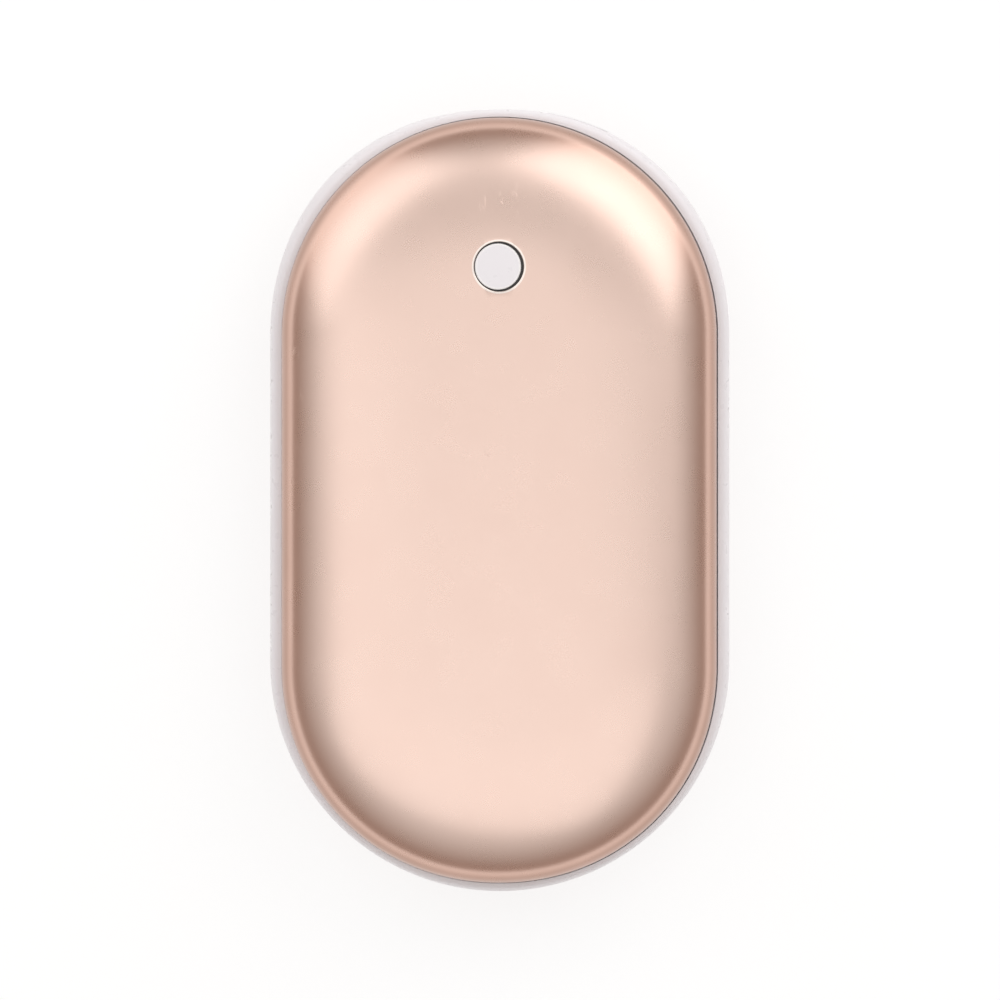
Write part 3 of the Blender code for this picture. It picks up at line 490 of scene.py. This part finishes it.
def plated(name, light, dark, roughness, lay=(1.0, 1.0, 6.0)):
    """Rolled and plated sheet with its faint rolling lines."""
    look = Look(name, light, roughness, 1.0)
    look.colour(tinted(look, light, dark, 0.7))
    lines = look.noise(1.6, 4.0, 0.7, look.stretch(lay))
    look.roughness(look.remap(lines, 0.25, 0.75, roughness - 0.07, roughness + 0.09))
    look.bump(lines, 0.000002, 0.5)
    return look.material


def clear_plastic():
    look = Look("clear_plastic", (0.93, 0.94, 0.95), 0.30, IOR=1.49, Transmission_Weight=0.30)
    look.roughness(look.remap(look.noise(1.5, 2.0), 0.2, 0.8, 0.24, 0.36))
    look.bump(look.noise(4.0, 2.0), 0.000003, 0.4)
    return look.material


def board_green():
    """Lacquered glass fibre board: a faint weave under the gloss."""
    look = Look("board_green", (0.03, 0.20, 0.09), 0.35)
    wave = look.node("ShaderNodeTexWave")
    look.feed(wave.inputs["Vector"], look.place)
    wave.inputs["Scale"].default_value = 1.1
    look.colour(look.mix(wave.outputs["Fac"], (0.028, 0.19, 0.085), (0.04, 0.235, 0.105)))
    look.roughness(look.remap(look.noise(1.0, 3.0), 0.2, 0.8, 0.28, 0.42))
    look.bump(wave.outputs["Fac"], 0.000008, 0.4)
    return look.material


def soft_look(name, light, dark, roughness, scale, depth):
    """Foam, paper and ferrite: a grainy face."""
    look = Look(name, light, roughness)
    grain = look.noise(scale, 4.0, 0.7)
    look.colour(look.mix(look.remap(grain, 0.3, 0.7), light, dark))
    look.roughness(look.remap(grain, 0.2, 0.8, roughness - 0.05, min(roughness + 0.08, 1.0)))
    look.bump(grain, depth, 0.8)
    return look.material


looks = {
    "rose_aluminium": rose_aluminium(),
    "white_plastic": white_plastic(),
    "grey_plastic": moulded("grey_plastic", (0.42, 0.43, 0.45), (0.37, 0.38, 0.40), 0.55),
    "black_plastic": moulded("black_plastic", (0.028, 0.028, 0.030), (0.020, 0.020, 0.021), 0.45),
    "clear_plastic": clear_plastic(),
    "plated_steel": plated("plated_steel", (0.70, 0.70, 0.68), (0.62, 0.62, 0.61), 0.27),
    "nickel": plated("nickel", (0.66, 0.63, 0.57), (0.58, 0.55, 0.50), 0.34, (6.0, 1.0, 1.0)),
    "gold_contact": plated("gold_contact", (0.83, 0.62, 0.24), (0.76, 0.55, 0.20), 0.24),
    "board_green": board_green(),
    "heater_film": soft_look("heater_film", (0.55, 0.25, 0.05), (0.45, 0.19, 0.035), 0.38, 0.9, 0.00001),
    "pad_foam": soft_look("pad_foam", (0.22, 0.22, 0.24), (0.14, 0.14, 0.15), 0.88, 5.0, 0.00008),
    "cell_wrap": soft_look("cell_wrap", (0.06, 0.20, 0.45), (0.05, 0.17, 0.40), 0.36, 0.5, 0.00001),
    "washer_paper": soft_look("washer_paper", (0.72, 0.74, 0.70), (0.62, 0.65, 0.60), 0.82, 4.0, 0.00002),
    "ferrite": soft_look("ferrite", (0.06, 0.06, 0.07), (0.04, 0.04, 0.045), 0.60, 6.0, 0.00003),
    "capacitor_ceramic": soft_look(
        "capacitor_ceramic", (0.48, 0.36, 0.24), (0.42, 0.31, 0.20), 0.50, 5.0, 0.00001),
    "led_body": soft_look("led_body", (0.90, 0.90, 0.84), (0.86, 0.86, 0.78), 0.28, 2.0, 0.000005),
    "red_wire": moulded("red_wire", (0.60, 0.04, 0.03), (0.52, 0.03, 0.025), 0.42),
    "black_wire": moulded("black_wire", (0.03, 0.03, 0.03), (0.02, 0.02, 0.02), 0.42),
    "white_wire": moulded("white_wire", (0.80, 0.80, 0.78), (0.74, 0.74, 0.71), 0.42),
}
slots = {row["node"]: row["material_slot"] for row in frame["record"]["subparts"]}
for name, node in nodes.items():
    node.data.materials.clear()
    node.data.materials.append(looks[slots[name]])


# Shells
def shell(name, side, node):
    top = mid_height
    outer = crown(shell_reach, top, crown_steps)
    inner = crown(shell_reach - shell_wall, top - shell_wall, inner_crown_steps)
    rim = [(shell_reach, rim_height + rim_break), (shell_reach - rim_break, rim_height)]
    rim.append((shell_reach - shell_wall, rim_height))
    bm = bmesh.new()
    rings = outer + rim + inner[::-1]
    shape = (2.0, shell_tail_fullness, shell_stretch)
    loft(bm, [outline(reach, side * height, *shape) for reach, height in rings])
    if side > 0:
        bmesh.ops.translate(bm, verts=bm.verts, vec=(*shell_shift, 0.0))
    return piece(name, bm, looks["rose_aluminium"], "housing", (node,))


def hole_tool(radius, edge, x, y):
    """A cutter whose top flares out over a rounded edge that follows the crowned face all the way round."""
    profile = [(radius, -0.0030), (radius, -edge)]
    profile += arc_corner((radius, -edge), (radius + edge, 0.0), 5)[1:]
    profile.append((radius + edge * 1.01, 0.0005))
    rings = []
    for distance, drop in profile:
        ring = []
        for step in range(hole_steps):
            angle = 2 * math.pi * step / hole_steps
            px = x + distance * math.cos(angle)
            py = y + distance * math.sin(angle)
            reach = math.hypot(px - shell_shift[0], max(py - spine_half - shell_stretch, 0.0))
            face = crown_height(reach, shell_reach, mid_height)
            ring.append((px, py, mid_height + face + drop))
        rings.append(ring)
    bm = bmesh.new()
    loft(bm, rings)
    return bm


front = shell("front_shell_skin", 1, "front_shell")
cut(front, hole_tool(hole_radius, hole_edge, hole_x, button_y))
shell("rear_shell_skin", -1, "rear_shell")


# Mid frame
def band_profile():
    """The moulded hoop's section: a full shoulder outside, and inside the rebates and lips for the shells."""
    seam_reach = shell_reach + seam
    points = []
    for step in range(band_steps + 1):
        angle = math.pi * (step / band_steps - 0.5)
        upward = math.copysign(abs(math.sin(angle)) ** (2 / band_power), angle)
        outward = max(math.cos(angle), 0.0) ** (2 / band_power)
        port = 2.0 + (port_fullness - 2.0) * outward
        tail = 2.0 + (shell_tail_fullness - 2.0) * (1 - outward)
        reach = seam_reach + (half_width - seam_reach) * outward
        points.append((reach, band_half * upward, port, tail, shell_stretch * (1 - outward)))
    inner = [(seam_reach, ledge_height), (lip_reach, ledge_height)]
    inner += [(lip_reach, lip_top), (frame_inner_reach, lip_top)]
    for reach, height in inner + [(reach, -height) for reach, height in inner[::-1]]:
        stretch = shell_stretch if reach == seam_reach else 0.0
        points.append((reach, height, 2.0, shell_tail_fullness, stretch))
    return points


def rounded(corners, steps=7):
    """A closed outline of (x, z) points from corners given as x, z and how far each is rounded."""
    points = []
    for i, (x, z, cutback) in enumerate(corners):
        corner = Vector((x, z))
        ends = []
        for near in (corners[i - 1], corners[(i + 1) % len(corners)]):
            ends.append(corner + (Vector(near[:2]) - corner).normalized() * cutback)
        for step in range(steps + 1):
            share = step / steps
            point = ends[0] * (1 - share) ** 2 + corner * 2 * share * (1 - share) + ends[1] * share**2
            points.append(tuple(point))
    return points


def usb_a_outline(grow):
    """The large socket's outline, grown or shrunk all round."""
    low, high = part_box("usb_a_shell")
    half_wide = (high.x - low.x) / 2 + grow
    half_tall = (high.z - low.z) / 2 + grow
    cutback = usb_a_corner + grow
    return rounded([(x * half_wide, z * half_tall, cutback) for x, z in ((1, 1), (-1, 1), (-1, -1), (1, -1))])


def micro_outline(grow):
    """The small socket's outline, whose two lower corners are cut off."""
    low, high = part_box("micro_usb_shell")
    half_wide = (high.x - low.x) / 2 + grow
    half_tall = (high.z - low.z) / 2 + grow
    slant = micro_slant + micro_slant_share * grow
    return rounded([
        (half_wide, half_tall, micro_corner + grow), (-half_wide, half_tall, micro_corner + grow),
        (-half_wide, slant - half_tall, micro_soft), (slant - half_wide, -half_tall, micro_soft),
        (half_wide - slant, -half_tall, micro_soft), (half_wide, slant - half_tall, micro_soft),
    ])


def at(points, centre, y):
    return [(centre.x + px, y, centre.z + pz) for px, pz in points]


def window_tool(node, shape):
    low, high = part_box(node)
    bm = bmesh.new()
    loft(bm, [at(shape(window_margin), (low + high) / 2, y) for y in (low.y - window_margin, window_end)])
    return bm


def lens_places():
    """Middle of each indicator light, and its direction towards the frame's outer face."""
    places = []
    for i in range(1, light_count + 1):
        centre = middle(f"indicator_led_{i}")
        out = Vector((centre.x, centre.y - spine_half, 0.0)).normalized()
        places.append((centre, out))
    return places


def lens_tool():
    bm = bmesh.new()
    radius = lens_radius + lens_gap
    for centre, out in lens_places():
        foot = Vector((centre.x, centre.y, lens_height)) + out * lens_hole_start
        turned(bm, [(radius, 0.0), (radius, lens_hole_length)], foot, out, lens_steps)
    return bm


def mid_frame():
    bm = bmesh.new()
    loft(bm, [outline(*point) for point in band_profile()], joined=True)
    band = piece("mid_frame_band", bm, looks["white_plastic"], "housing", ("mid_frame",))
    cut(band, window_tool("usb_a_shell", usb_a_outline))
    cut(band, window_tool("micro_usb_shell", micro_outline))
    cut(band, lens_tool())


# Sockets
def strip(bm, path, x, width, thickness):
    """A bent leaf of sheet metal that follows (y, z) points."""
    rings = []
    for y, z in path:
        left = x - width / 2
        right = x + width / 2
        rings.append([(left, y, z), (right, y, z), (right, y, z + thickness), (left, y, z + thickness)])
    loft(bm, rings)


def socket_shell(bm, node, shape, wall, flare):
    """A folded tube with a rounded lip that opens a little at its mouth."""
    low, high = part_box(node)
    centre = (low + high) / 2
    lip = wall / 2
    rings = [
        (shape(0.0), low.y), (shape(0.0), high.y - 4 * lip), (shape(flare / 2), high.y - 2 * lip),
        (shape(flare), high.y - lip), (shape(flare - 0.3 * lip), high.y - 0.3 * lip),
        (shape(flare - lip), high.y), (shape(flare - 1.7 * lip), high.y - 0.3 * lip),
        (shape(flare - wall), high.y - lip), (shape(-wall), high.y - 3 * lip), (shape(-wall), low.y),
    ]
    loft(bm, [at(points, centre, y) for points, y in rings], joined=True)


def usb_a_shell():
    """The large socket's shell, with two sprung leaves against its roof and two against its floor."""
    low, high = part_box("usb_a_shell")
    centre = (low + high) / 2
    bm = bmesh.new()
    socket_shell(bm, "usb_a_shell", usb_a_outline, usb_a_wall, usb_a_flare)
    leaf_reach = (high.z - low.z) / 2 - usb_a_wall - leaf_thickness / 2
    for x in (-leaf_x, leaf_x):
        for side in (-1, 1):
            path = []
            for depth, lift in leaf_bends:
                path.append((high.y - depth, centre.z + side * (leaf_reach - lift) - leaf_thickness / 2))
            strip(bm, path, centre.x + x, leaf_width, leaf_thickness)
    piece("usb_a_shell_fine", bm, looks["plated_steel"], "housing", ("usb_a_shell",))


def usb_a_insulator():
    """The large socket's rear block, and the tongue whose tip tapers."""
    low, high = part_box("usb_a_insulator")
    centre = middle("usb_a_shell")
    block_front = low.y + block_depth
    bm = bmesh.new()
    rings = [at(usb_a_outline(-block_inset), centre, y) for y in (low.y, block_front - block_edge)]
    loft(bm, rings + [at(usb_a_outline(-block_inset - block_edge), centre, block_front)])
    rings = []
    for y, inset in [(low.y + tongue_root, 0.0)] + [(high.y - depth, inset) for depth, inset in tongue_tip]:
        half = tongue_half - inset * tip_taper_share
        top = tongue_rise - inset
        bottom = tongue_rise - tongue_thickness + inset
        corners = ((half, top), (-half, top), (-half, bottom), (half, bottom))
        rings.append(at(rounded([(x, z, tongue_corner) for x, z in corners], 3), centre, y))
    loft(bm, rings)
    look = looks["black_plastic"]
    piece("usb_a_insulator_fine", bm, look, "housing", ("usb_a_insulator",))


def usb_a_contact(node):
    """A contact that bends towards the plug near its tip."""
    low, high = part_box(node)
    path = [(low.y + (high.y - low.y) * share, low.z - drop) for share, drop in contact_bends]
    bm = bmesh.new()
    strip(bm, path, (low.x + high.x) / 2, high.x - low.x, high.z - low.z)
    piece(f"{node}_fine", bm, looks["gold_contact"], "housing", (node,))


def micro_usb_shell():
    bm = bmesh.new()
    socket_shell(bm, "micro_usb_shell", micro_outline, micro_wall, micro_flare)
    piece("micro_usb_shell_fine", bm, looks["plated_steel"], "housing", ("micro_usb_shell",))


def micro_usb_contact(i):
    """One of the small socket's contacts under its tongue."""
    low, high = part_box("micro_usb_insulator")
    centre = (low + high) / 2
    x = centre.x + (i - (micro_contacts - 1) / 2) * micro_contact_pitch
    top = centre.z - micro_contact_drop
    path = [(low.y + micro_contact_root, top)]
    path += [(high.y - depth, top + lift) for depth, lift in micro_contact_tip]
    bm = bmesh.new()
    strip(bm, path, x, micro_contact_width, -micro_contact_thickness)
    piece(f"micro_usb_contact_{i + 1}", bm, looks["gold_contact"], "housing")


def light_guide():
    """A curved bar behind the frame, with a domed lens for each light."""
    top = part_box("light_guide")[1].z
    spots = lens_places()
    angles = [math.atan2(centre.y - spine_half, centre.x) for centre, out in spots]
    first = min(angles) - guide_end_angle
    last = max(angles) + guide_end_angle
    foot = top - guide_height
    rings = []
    for step in range(guide_steps + 1):
        angle = first + (last - first) * step / guide_steps
        ring = []
        for reach, z in ((guide_inner, foot), (guide_outer, foot), (guide_outer, top), (guide_inner, top)):
            ring.append((reach * math.cos(angle), spine_half + reach * math.sin(angle), z))
        rings.append(ring)
    bm = bmesh.new()
    loft(bm, rings)
    for angle, (centre, out) in zip(angles, spots):
        start = (guide_spine * math.cos(angle), spine_half + guide_spine * math.sin(angle), lens_height)
        length = half_width * swell(angle, port_fullness) - lens_sink - guide_spine
        dome_foot = length - dome_height
        profile = [(lens_radius, 0.0), (lens_radius, dome_foot)]
        for step in range(1, dome_steps + 1):
            turn = math.pi / 2 * step / (dome_steps + 0.5)
            profile.append((lens_radius * math.cos(turn), dome_foot + dome_height * math.sin(turn)))
        turned(bm, profile, start, out, lens_steps)
    piece("light_guide_fine", bm, looks["clear_plastic"], "housing", ("light_guide",))


def button_cap():
    """The cap with its softened edge, its flange under the shell and its stem."""
    low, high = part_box("button_cap")
    flange_radius = (high.x - low.x) / 2
    flange_foot = flange_top - flange_thickness
    edge_foot = (cap_radius, high.z - cap_edge_drop)
    edge_top = (cap_radius - cap_edge_width, high.z - cap_bulge)
    profile = [(stem_radius, low.z), (stem_radius, flange_foot), (flange_radius, flange_foot)]
    profile += [(flange_radius, flange_top), (cap_radius, flange_top)]
    profile += arc_corner(edge_foot, edge_top, 9)
    profile += [(cap_radius * share, high.z - cap_bulge * share**2) for share in (0.8, 0.6, 0.4, 0.2, 0.03)]
    bm = bmesh.new()
    turned(bm, profile, (cap_x, button_y, 0.0), (0.0, 0.0, 1.0))
    look = button_plastic(millimetres * (high.z - crevice_depth))
    piece("button_cap_fine", bm, look, "button", ("button_cap",))


mid_frame()
usb_a_shell()
usb_a_insulator()
for i in range(1, usb_a_contacts + 1):
    usb_a_contact(f"usb_a_contact_{i}")
micro_usb_shell()
for i in range(micro_contacts):
    micro_usb_contact(i)
light_guide()
button_cap()


# Light, floor and camera
def lamp(name, azimuth, elevation, distance, size, radiance):
    """A square softbox aimed at the object, set by the radiance of its face."""
    light = bpy.data.lights.new(name, "AREA")
    light.shape = "RECTANGLE"
    light.size, light.size_y = size
    light.energy = radiance * math.pi * size[0] * size[1]
    made = bpy.data.objects.new(name, light)
    aim = Vector((
        math.cos(math.radians(elevation)) * math.cos(math.radians(azimuth)),
        math.cos(math.radians(elevation)) * math.sin(math.radians(azimuth)),
        math.sin(math.radians(elevation)),
    ))
    made.location = aim * distance
    made.rotation_euler = aim.to_track_quat("Z", "Y").to_euler()
    made.visible_camera = False
    bpy.context.scene.collection.objects.link(made)


lamp("softbox_right", 49.0, 33.0, 0.9, (0.74, 1.12), 1.20)
lamp("softbox_left", 138.0, 34.0, 0.9, (0.68, 1.04), 0.84)
lamp("softbox_above", -106.0, 77.5, 0.94, (0.96, 0.58), 0.54)

world = bpy.data.worlds.new("studio")
bpy.context.scene.world = world
world.use_nodes = True
tree = world.node_tree
tree.nodes.clear()


def world_node(kind, **settings):
    made = tree.nodes.new(kind)
    for name, value in settings.items():
        setattr(made, name, value)
    return made


place = world_node("ShaderNodeTexCoord").outputs["Generated"]
split = world_node("ShaderNodeSeparateXYZ")
tree.links.new(place, split.inputs[0])
ramp = world_node("ShaderNodeValToRGB")
ramp.color_ramp.interpolation = "EASE"
stops = (
    (0.0, (0.33, 0.245, 0.205)), (0.18, (0.35, 0.265, 0.225)), (0.38, (0.38, 0.310, 0.278)),
    (0.60, (0.51, 0.465, 0.44)), (0.82, (0.71, 0.70, 0.69)),
)
for i, (position, colour) in enumerate(stops):
    stop = ramp.color_ramp.elements[i] if i < 2 else ramp.color_ramp.elements.new(position)
    stop.position = position
    stop.color = (*colour, 1.0)
tree.links.new(split.outputs["Z"], ramp.inputs["Fac"])
sky = world_node("ShaderNodeBackground")
tree.links.new(ramp.outputs["Color"], sky.inputs["Color"])
sky.inputs["Strength"].default_value = 1.0
tree.links.new(sky.outputs[0], world_node("ShaderNodeOutputWorld").inputs["Surface"])


# The paper lies just under the rear shell's face, so that the two don't share a plane
floor_section = ((0.5, -0.00002), (2.6, -0.00002), (2.66, 0.012), (2.70, 0.045), (2.73, 0.10), (2.75, 0.20))


def floor():
    """White paper that curves up far away all round, so that level views have it behind the object too."""
    bm = bmesh.new()
    loops = []
    for reach, height in floor_section:
        angles = [2 * math.pi * step / hole_steps for step in range(hole_steps)]
        loops.append([bm.verts.new((reach * math.cos(a), reach * math.sin(a), height)) for a in angles])
    bm.faces.new(loops[0])
    for first, second in zip(loops, loops[1:]):
        for i, vertex in enumerate(first):
            bm.faces.new((first[i - 1], second[i - 1], second[i], vertex))
    mesh = bpy.data.meshes.new("floor")
    bm.to_mesh(mesh)
    bm.free()
    made = bpy.data.objects.new("floor", mesh)
    bpy.context.scene.collection.objects.link(made)
    mesh.materials.append(paper())


def paper():
    """White paper that takes shadows and keeps its tone where the camera, metal or clear plastic sees it."""
    look = bpy.data.materials.new("paper_floor")
    look.use_nodes = True
    tree = look.node_tree
    tree.nodes.clear()
    diffuse = tree.nodes.new("ShaderNodeBsdfDiffuse")
    diffuse.inputs["Color"].default_value = (0.92, 0.92, 0.92, 1.0)
    glow = tree.nodes.new("ShaderNodeEmission")
    glow.inputs["Strength"].default_value = 1.09
    rays = tree.nodes.new("ShaderNodeLightPath")
    seen = rays.outputs["Is Camera Ray"]
    for kind in ("Is Glossy Ray", "Is Transmission Ray"):
        either = tree.nodes.new("ShaderNodeMath")
        either.operation = "MAXIMUM"
        tree.links.new(seen, either.inputs[0])
        tree.links.new(rays.outputs[kind], either.inputs[1])
        seen = either.outputs[0]
    share = tree.nodes.new("ShaderNodeMath")
    share.operation = "MULTIPLY"
    tree.links.new(seen, share.inputs[0])
    share.inputs[1].default_value = 0.72
    both = tree.nodes.new("ShaderNodeMixShader")
    tree.links.new(share.outputs[0], both.inputs["Fac"])
    tree.links.new(diffuse.outputs[0], both.inputs[1])
    tree.links.new(glow.outputs[0], both.inputs[2])
    out = tree.nodes.new("ShaderNodeOutputMaterial")
    tree.links.new(both.outputs[0], out.inputs["Surface"])
    return look


floor()

camera_height = 2.50
photo_pixels = 1000
pixels_per_millimetre = 7.82
view_width = photo_pixels / pixels_per_millimetre / millimetres
camera = bpy.data.cameras.new("camera")
camera.sensor_width = 36.0
camera.lens = camera.sensor_width * (camera_height - mid_height) / view_width
camera.clip_start = 0.01
camera_object = bpy.data.objects.new("camera", camera)
camera_object.location = (0.00003, 0.0, camera_height)
bpy.context.scene.collection.objects.link(camera_object)
bpy.context.scene.camera = camera_object

bpy.context.scene.view_settings.view_transform = "Standard"
